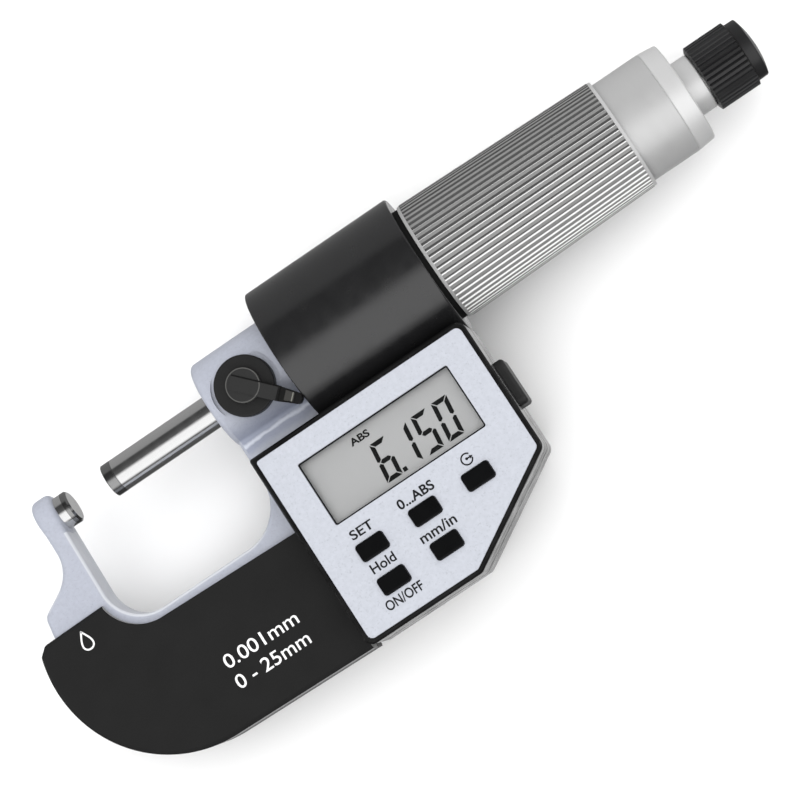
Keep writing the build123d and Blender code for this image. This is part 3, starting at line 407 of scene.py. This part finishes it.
HUB_ALLOY = turned_metal("turned_aluminium", (0.74, 0.74, 0.735), 0.26, 0.12, 0.002)
THIMBLE_SATIN = turned_metal("satin_chrome", (0.51, 0.51, 0.51), 0.42, 0.04, 0.0012, 0.5)
CAP_SATIN = turned_metal("bright_satin", (0.65, 0.65, 0.65), 0.4, 0.04, 0.0012, 0.49)
SCREW_DARK = plain_metal("blackened_screw", (0.2, 0.2, 0.21), 0.4)
PLATED = plain_metal("plated_steel", (0.65, 0.65, 0.64), 0.25)
BRASS = plain_metal("spring_brass", (0.72, 0.55, 0.26), 0.3)


def board_finish():
    """Green circuit board with faint copper tracks under its lacquer."""
    f = Finish("circuit_board_green", (0.015, 0.11, 0.045), 0.35)
    tracks = f.ramp(f.cells(1.6, "DISTANCE_TO_EDGE"), (0.06, 1.0), (0.1, 0.0))
    f.tint(tracks, 1.0, 1.8)
    f.vary_rough(f.noise(1.0), 0.05)
    f.bump(tracks, 0.02)
    return f.mat


CONDUCTOR_PITCH = 0.8


def ribbon_finish():
    """Amber film with parallel conductors along its run."""
    f = Finish("amber_film", (0.55, 0.28, 0.05), 0.3)
    stripe = f.maths("SINE", f.both(f.axis("X"), 2 * math.pi / (CONDUCTOR_PITCH * MM)))
    f.tint(f.span(stripe, -0.2, 0.2, 0.0, 1.0), 0.6, 1.15)
    f.bump(f.noise(0.5), 0.005)
    return f.mat


def display_finish():
    """Grey reflective liquid-crystal glass, very slightly uneven."""
    f = Finish("display_grey", (0.332, 0.335, 0.336), 0.45, specular=0.3)
    f.tint(f.noise(9.0, detail=2.0), 0.975, 1.025)
    f.vary_rough(f.noise(0.6), 0.04)
    f.bump(f.noise(0.15), 0.001)
    return f.mat


def window_finish():
    """Clear window that shows the display, with the faintest smudges."""
    f = Finish("window_clear", (0.04, 0.042, 0.042), 0.06, specular=0.4, Alpha=0.03)
    f.tint(f.noise(5.0), 0.97, 1.03)
    f.vary_rough(f.noise(4.0, detail=4.0), 0.02)
    f.bump(f.noise(3.0), 0.0006)
    return f.mat


def ink(name, colour, rough=0.6):
    """Printed legend with slightly uneven coverage."""
    f = Finish(name, colour, rough, specular=0.2)
    f.tint(f.noise(0.25, detail=4.0), 0.86, 1.1)
    f.bump(f.noise(0.1), 0.004)
    return f.mat


DISPLAY_GREY = display_finish()
WINDOW_CLEAR = window_finish()
BOARD_GREEN = board_finish()
AMBER = ribbon_finish()
BLACK_INK = ink("black_ink", (0.008, 0.008, 0.009))
SEGMENT_INK = ink("segment_black", (0.003, 0.003, 0.003), 0.5)
WHITE_INK = ink("white_ink", (0.78, 0.78, 0.78))

NODE_FINISHES = {
    FRAME_PAINT: ["frame"],
    PANEL_PAINT: ["face_panel"],
    COVER_BLACK: ["front_cover", "rear_cover"],
    HOUSING_BLACK: ["front_housing", "rear_housing"],
    PORT_BLACK: ["port_cover"],
    CAP_BLACK: ["battery_cap", "data_port_socket"],
    KEY_BLACK: ["button_set", "button_hold", "button_abs", "button_unit", "button_origin"],
    LEVER_BLACK: ["lock_lever"],
    KNOB_BLACK: ["ratchet_knob", "ratchet_cap"],
    RUBBER: ["housing_seal", "battery_cap_seal", "dust_ring", "lcd_connector_strips"],
    GREY_RUBBER: ["keypad_membrane"],
    SPINDLE_STEEL: ["anvil", "spindle", "spindle_bush", "inner_sleeve", "adjusting_nut"],
    CARBIDE: ["anvil_tip", "spindle_tip"],
    FLUTE_ALLOY: ["fluted_sleeve"],
    HUB_ALLOY: ["rotor_hub"],
    THIMBLE_SATIN: ["thimble"],
    CAP_SATIN: ["thimble_cap", "ratchet_stem"],
    SCREW_DARK: ["cover_screws", "housing_screws"],
    PLATED: [
        "battery", "drive_key", "ratchet_pawl", "ratchet_spring", "ratchet_screw", "lock_screw",
        "board_screws",
    ],
    BRASS: ["battery_contact_top", "battery_contact_side", "data_port_contacts", "lock_shoe"],
    BOARD_GREEN: ["circuit_board", "stator_board", "rotor_disc"],
    AMBER: ["sensor_ribbon"],
    DISPLAY_GREY: ["lcd_glass"],
    WINDOW_CLEAR: ["display_window"],
}
for finish, names in NODE_FINISHES.items():
    for name in names:
        for material_slot in frame["nodes"][name].material_slots:
            material_slot.material = finish

# ---------------------------------------------------------------- piece helpers


def place_mesh(name, mesh, finish, body):
    mesh.materials.clear()
    mesh.materials.append(finish)
    piece = bpy.data.objects.new(name, mesh)
    bpy.context.scene.collection.objects.link(piece)
    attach(piece, body)


def sheets(name, outlines, low, high, finish, body):
    """Thin flat pieces: each outline of (x, y) in mm stands between two heights."""
    bm = bmesh.new()
    for outline in outlines:
        base = [bm.verts.new((x * MM, y * MM, low * MM)) for x, y in outline]
        top = [bm.verts.new((x * MM, y * MM, high * MM)) for x, y in outline]
        bm.faces.new(top)
        bm.faces.new(base[::-1])
        for i in range(len(outline)):
            j = (i + 1) % len(outline)
            bm.faces.new((base[i], base[j], top[j], top[i]))
    bmesh.ops.recalc_face_normals(bm, faces=bm.faces)
    mesh = bpy.data.meshes.new(name)
    bm.to_mesh(mesh)
    bm.free()
    place_mesh(name, mesh, finish, body)


def stroke(points, width, closed=False):
    """Quads that follow a line of (x, y) points with one width."""
    quads = []
    count = len(points) if closed else len(points) - 1
    sides = []
    for i, point in enumerate(points):
        before = points[i - 1] if (i > 0 or closed) else point
        after = points[(i + 1) % len(points)] if (i < len(points) - 1 or closed) else point
        along = Vector((after[0] - before[0], after[1] - before[1])).normalized()
        across = Vector((-along.y, along.x)) * (width / 2)
        here = Vector(point)
        sides.append((here + across, here - across))
    for i in range(count):
        a, b = sides[i], sides[(i + 1) % len(points)]
        quads.append([tuple(a[0]), tuple(a[1]), tuple(b[1]), tuple(b[0])])
    return quads


LETTER_WEIGHT = 0.016  # how far the outline is swollen, beside a font size of 1
LETTER_DEPTH = 0.01  # only its sign tells top from bottom; INK_MM is the real thickness


def legend(name, text, centre, width, height, z, finish, slot, weight=LETTER_WEIGHT):
    """Lettering in the built-in font, fitted to a width and height in mm, on a top face."""
    curve = bpy.data.curves.new(name + "_line", "FONT")
    curve.body = text
    curve.extrude = LETTER_DEPTH
    curve.offset = weight
    curve.resolution_u = 6
    holder = bpy.data.objects.new(name + "_line", curve)
    bpy.context.scene.collection.objects.link(holder)
    bpy.context.view_layer.update()
    evaluated = holder.evaluated_get(bpy.context.evaluated_depsgraph_get())
    mesh = bpy.data.meshes.new_from_object(evaluated)
    bpy.data.objects.remove(holder)
    xs = [v.co.x for v in mesh.vertices]
    ys = [v.co.y for v in mesh.vertices]
    scale_x = width / (max(xs) - min(xs))
    scale_y = height / (max(ys) - min(ys))
    mid_x, mid_y = (max(xs) + min(xs)) / 2, (max(ys) + min(ys)) / 2
    for v in mesh.vertices:
        x = centre[0] + (v.co.x - mid_x) * scale_x
        y = centre[1] + (v.co.y - mid_y) * scale_y
        level = z + (INK_MM if v.co.z > 0 else 0.0)
        v.co = (x * MM, y * MM, level * MM)
    place_mesh(name, mesh, finish, ROOT)


def arc_points(x, y, radius, start, end, count):
    """Evenly spaced points of an arc between two angles in degrees."""
    angles = [math.radians(start + (end - start) * i / (count - 1)) for i in range(count)]
    return [(x + radius * math.cos(a), y + radius * math.sin(a)) for a in angles]


# ---------------------------------------------------------------- display segments
SEGMENT_BOTTOM, SEGMENT_TOP = DISPLAY_TOP + 0.005, DISPLAY_TOP + 0.02
DIGIT_W = 3.25
DIGIT_H = 7.5
SEGMENT_W = 0.84
SEGMENT_GAP = 0.12
DIGIT_SLANT = 0.115
READING = [("6", 54.08), ("1", 58.5), ("5", 62.88), ("0", 67.22)]
DIGIT_Y = -26.15
POINT_X, POINT_Y, POINT_HALF = 56.05, DIGIT_Y - DIGIT_H / 2 + 0.45, 0.4
LIT = {"0": "abcdef", "1": "bc", "5": "acdfg", "6": "acdefg"}


def segment_shapes():
    """Outlines of the seven segments in one digit cell, centred on the cell."""
    w, h, t, g = DIGIT_W / 2, DIGIT_H / 2, SEGMENT_W, SEGMENT_GAP
    flat = [(-w + g, h), (w - g, h), (w - g - t, h - t), (-w + g + t, h - t)]
    foot = [(w, t * 0.35 + g / 2), (w - t * 0.45, g), (w - t, t * 0.45 + g)]
    upright = [(w, h - g), *foot, (w - t, h - g - t)]
    tip, shoulder = w - g - t / 2, w - t - g
    half = t / 2
    middle = [(-tip, 0), (-shoulder, half), (shoulder, half), (tip, 0), (shoulder, -half), (-shoulder, -half)]

    def flip(points, sx, sy):
        return [(x * sx, y * sy) for x, y in points]

    return {
        "a": flat,
        "b": upright,
        "c": flip(upright, 1, -1),
        "d": flip(flat, 1, -1),
        "e": flip(upright, -1, -1),
        "f": flip(upright, -1, 1),
        "g": middle,
    }


def reading_outlines():
    """The lit segments of every digit, slanted, and the decimal point."""
    shapes = segment_shapes()
    lit = []
    for digit, centre_x in READING:
        for key in LIT[digit]:
            lit.append([(centre_x + x + y * DIGIT_SLANT, DIGIT_Y + y) for x, y in shapes[key]])
    corners = [(-1, -1), (1, -1), (1, 1), (-1, 1)]
    lit.append([(POINT_X + x * POINT_HALF, POINT_Y + y * POINT_HALF) for x, y in corners])
    return lit


sheets("display_segments", reading_outlines(), SEGMENT_BOTTOM, SEGMENT_TOP, SEGMENT_INK, ROOT)
legend("display_mode", "ABS", (52.2, -20.3), 3.9, 1.4, SEGMENT_BOTTOM, SEGMENT_INK, "lcd", 0.03)

# ---------------------------------------------------------------- panel and cover legends


def panel_legend(name, text, centre, width, height, weight=LETTER_WEIGHT):
    legend(name, text, centre, width, height, PANEL_TOP, BLACK_INK, "panel_print", weight)


COVER_LETTERS = (15.6, 2.6)
COVER_WEIGHT = 0.004


def cover_legend(name, text, centre):
    legend(name, text, centre, *COVER_LETTERS, COVER_TOP, WHITE_INK, "black_plastic", COVER_WEIGHT)


panel_legend("legend_set", "SET", (43.85, -34.25), 4.6, 1.75)
panel_legend("legend_hold", "Hold", (43.9, -41.2), 4.9, 1.85)
panel_legend("legend_power", "ON/OFF", (43.9, -48.1), 7.6, 1.85)
panel_legend("legend_abs", "0...ABS", (55.2, -34.4), 7.4, 1.85, 0.022)
panel_legend("legend_unit", "mm/in", (55.3, -41.5), 7.3, 1.95)
cover_legend("legend_resolution", "0.001mm", (16.9, -40.05))
cover_legend("legend_range", "0 - 25mm", (16.8, -44.25))

ICON_X, ICON_Y, ICON_R = 66.25, -34.2, 1.02
ICON_LINE = 0.27
ARROW_Y = ICON_Y + 0.05
ARROW_DOT_R = 0.27


def zero_icon():
    """An open ring with an arrow from a dot at its centre to its rim."""
    rim = ICON_X + ICON_R
    ring = arc_points(ICON_X, ICON_Y, ICON_R, 40, 350, 32)
    shaft = [(ICON_X, ARROW_Y), (rim - 0.3, ARROW_Y)]
    head = [(rim - 0.4, ICON_Y + 0.4), (rim - 0.4, ICON_Y - 0.3), (rim + 0.25, ARROW_Y)]
    dot = arc_points(ICON_X, ARROW_Y, ARROW_DOT_R, 0, 315, 8)
    return stroke(ring, ICON_LINE) + stroke(shaft, ICON_LINE) + [head, dot]


PANEL_INK_TOP, COVER_INK_TOP = PANEL_TOP + INK_MM, COVER_TOP + INK_MM
sheets("legend_zero_icon", zero_icon(), PANEL_TOP, PANEL_INK_TOP, BLACK_INK, ROOT)

DROP_X, DROP_Y, DROP_HEIGHT = -10.2, -22.6, 3.6
DROP_LINE = 0.32
DROP_FULLNESS = 0.42
DROP_POINTS = 40


def drop_outline():
    """A water drop with its point up, as closed points."""
    points = []
    for i in range(DROP_POINTS):
        a = 2 * math.pi * i / DROP_POINTS
        width = math.sin(a) * math.sin(a / 2) ** 1.5
        points.append((DROP_X + width * DROP_HEIGHT * DROP_FULLNESS, DROP_Y + math.cos(a) * DROP_HEIGHT / 2))
    return points


drop = stroke(drop_outline(), DROP_LINE, True)
sheets("legend_splash_mark", drop, COVER_TOP, COVER_INK_TOP, WHITE_INK, ROOT)

# ---------------------------------------------------------------- window border, painted shade
# The panel's opening over the window: its centre and its size.
WINDOW_X, WINDOW_Y, WINDOW_W, WINDOW_H = 56.4, -24.8, 31.9, 12.9
BORDER = 0.28
BORDER_INSET = 0.02
BORDER_CORNER_R = 0.4
BORDER_BOTTOM, BORDER_TOP = WINDOW_TOP + 0.005, WINDOW_TOP + 0.03


def corner_loop(x, y, width, height, radius):
    """Closed points of a rectangle with rounded corners."""
    points = []
    for cx, cy, start in ((1, 1, 0), (-1, 1, 90), (-1, -1, 180), (1, -1, 270)):
        corner_x, corner_y = x + cx * (width / 2 - radius), y + cy * (height / 2 - radius)
        points += arc_points(corner_x, corner_y, radius, start, start + 90, 5)
    return points


border_width = WINDOW_W - BORDER - 2 * BORDER_INSET
border_height = WINDOW_H - BORDER - 2 * BORDER_INSET
border_shade = stroke(corner_loop(WINDOW_X, WINDOW_Y, border_width, border_height, BORDER_CORNER_R), BORDER, True)
# Painted shade: a thin black line round the panel's opening stands for the shadow its edge casts on the
# display.
sheets("window_border_shade", border_shade, BORDER_BOTTOM, BORDER_TOP, BLACK_INK, ROOT)

# ---------------------------------------------------------------- studio
FLOOR_GAP = 0.05 * MM  # keeps the floor from sharing a plane with the housing's back
FLOOR_Z = cad_box[0].z - FLOOR_GAP
FLOOR_HALF = 6.0  # metres


def floor_finish():
    f = Finish("studio_floor", (0.86, 0.86, 0.86), 0.9, specular=0.1)
    f.tint(f.noise(120.0), 0.995, 1.005)
    return f.mat


floor_mesh = bpy.data.meshes.new("studio_floor")
floor_corners = [(x * FLOOR_HALF, y * FLOOR_HALF, FLOOR_Z) for x, y in ((-1, -1), (1, -1), (1, 1), (-1, 1))]
floor_mesh.from_pydata(floor_corners, [], [(0, 1, 2, 3)])
floor_mesh.materials.append(floor_finish())
floor = bpy.data.objects.new("studio_floor", floor_mesh)
bpy.context.scene.collection.objects.link(floor)
floor.visible_glossy = False

# The reflections come from a sky banded by its angle about the X axis: 0 is straight up, positive
# towards -Y. The broad bright band is the softbox; the dark ones are black flags beside it.
SKY_BANDS = [
    (-180, 0.7), (-166, 0.66), (-150, 0.28), (-100, 0.28), (-56, 0.25), (-46, 0.05), (-32, 0.05),
    (-3, 0.09), (13, 0.95), (62, 1.0), (76, 0.09), (156, 0.07), (171, 0.6), (180, 0.7),
]
SKY_STRENGTH = 1.15
SKY_PLAIN = 0.92


def studio_sky():
    world = bpy.data.worlds.new("studio_sky")
    world.use_nodes = True
    tree = world.node_tree
    tree.nodes.clear()

    def node(kind, **settings):
        made = tree.nodes.new(kind)
        for key, value in settings.items():
            setattr(made, key, value)
        return made

    link = tree.links.new
    direction = node("ShaderNodeTexCoord").outputs["Generated"]
    parts = node("ShaderNodeSeparateXYZ")
    link(direction, parts.inputs[0])
    minus_y = node("ShaderNodeMath", operation="MULTIPLY")
    link(parts.outputs["Y"], minus_y.inputs[0])
    minus_y.inputs[1].default_value = -1
    angle = node("ShaderNodeMath", operation="ARCTAN2")
    link(minus_y.outputs[0], angle.inputs[0])
    link(parts.outputs["Z"], angle.inputs[1])
    share = node("ShaderNodeMapRange")
    link(angle.outputs[0], share.inputs["Value"])
    share.inputs["From Min"].default_value = -math.pi
    share.inputs["From Max"].default_value = math.pi
    ramp = node("ShaderNodeValToRGB")
    link(share.outputs["Result"], ramp.inputs["Fac"])
    stops = ramp.color_ramp.elements
    for index, (degrees, shade) in enumerate(SKY_BANDS):
        position = (degrees + 180) / 360
        stop = stops[index] if index < 2 else stops.new(position)
        stop.position = position
        stop.color = (shade, shade, shade, 1)
    banded = node("ShaderNodeBackground")
    banded.inputs["Strength"].default_value = SKY_STRENGTH
    link(ramp.outputs["Color"], banded.inputs["Color"])
    plain = node("ShaderNodeBackground")
    plain.inputs["Color"].default_value = (SKY_PLAIN, SKY_PLAIN, SKY_PLAIN, 1)
    rays = node("ShaderNodeLightPath")
    mix = node("ShaderNodeMixShader")
    link(rays.outputs["Is Glossy Ray"], mix.inputs[0])
    link(plain.outputs[0], mix.inputs[1])
    link(banded.outputs[0], mix.inputs[2])
    out = node("ShaderNodeOutputWorld")
    link(mix.outputs[0], out.inputs["Surface"])
    bpy.context.scene.world = world


studio_sky()


def softbox(name, place, aim, size, watts):
    """Square area light for diffuse light only: the sky bands make the reflections."""
    lamp = bpy.data.lights.new(name, "AREA")
    lamp.size = size
    lamp.energy = watts
    holder = bpy.data.objects.new(name, lamp)
    bpy.context.scene.collection.objects.link(holder)
    holder.location = Vector(place)
    holder.rotation_mode = "QUATERNION"
    holder.rotation_quaternion = (Vector(aim) - Vector(place)).to_track_quat("-Z", "Y")
    holder.visible_glossy = False


# The lights' places and sizes are in metres.
CENTRE = (0.06, -0.02, 0.0)
softbox("softbox_top", (0.02, 0.05, 0.9), CENTRE, 1.2, 7.0)
softbox("softbox_left", (-0.6, -0.5, 0.6), CENTRE, 0.9, 2.0)
softbox("softbox_right", (0.7, 0.5, 0.6), CENTRE, 0.9, 2.0)

# ---------------------------------------------------------------- camera
CAMERA_PLACE = Vector((106.0, -76.0, 445.0)) * MM
CAMERA_AIM = Vector((60.950, -17.484, 0.0)) * MM
CAMERA_ROLL = 33.93  # how far the spindle axis rises to the right, in degrees
CAMERA_LENS = 112.456

camera_data = bpy.data.cameras.new("photo_camera")
camera_data.lens = CAMERA_LENS
camera_data.sensor_width = 36.0
camera_data.clip_start = 0.01
camera = bpy.data.objects.new("photo_camera", camera_data)
bpy.context.scene.collection.objects.link(camera)
forward = (CAMERA_AIM - CAMERA_PLACE).normalized()
side = forward.cross(Vector((0, 1, 0))).normalized()
above = side.cross(forward)
turn = math.radians(CAMERA_ROLL) - math.atan2(above.x, side.x)
right = math.cos(turn) * side - math.sin(turn) * above
up = math.sin(turn) * side + math.cos(turn) * above
camera.matrix_world = Matrix((
    (right.x, up.x, -forward.x, CAMERA_PLACE.x),
    (right.y, up.y, -forward.y, CAMERA_PLACE.y),
    (right.z, up.z, -forward.z, CAMERA_PLACE.z),
    (0, 0, 0, 1),
))
bpy.context.scene.camera = camera
bpy.context.scene.view_settings.view_transform = "Standard"
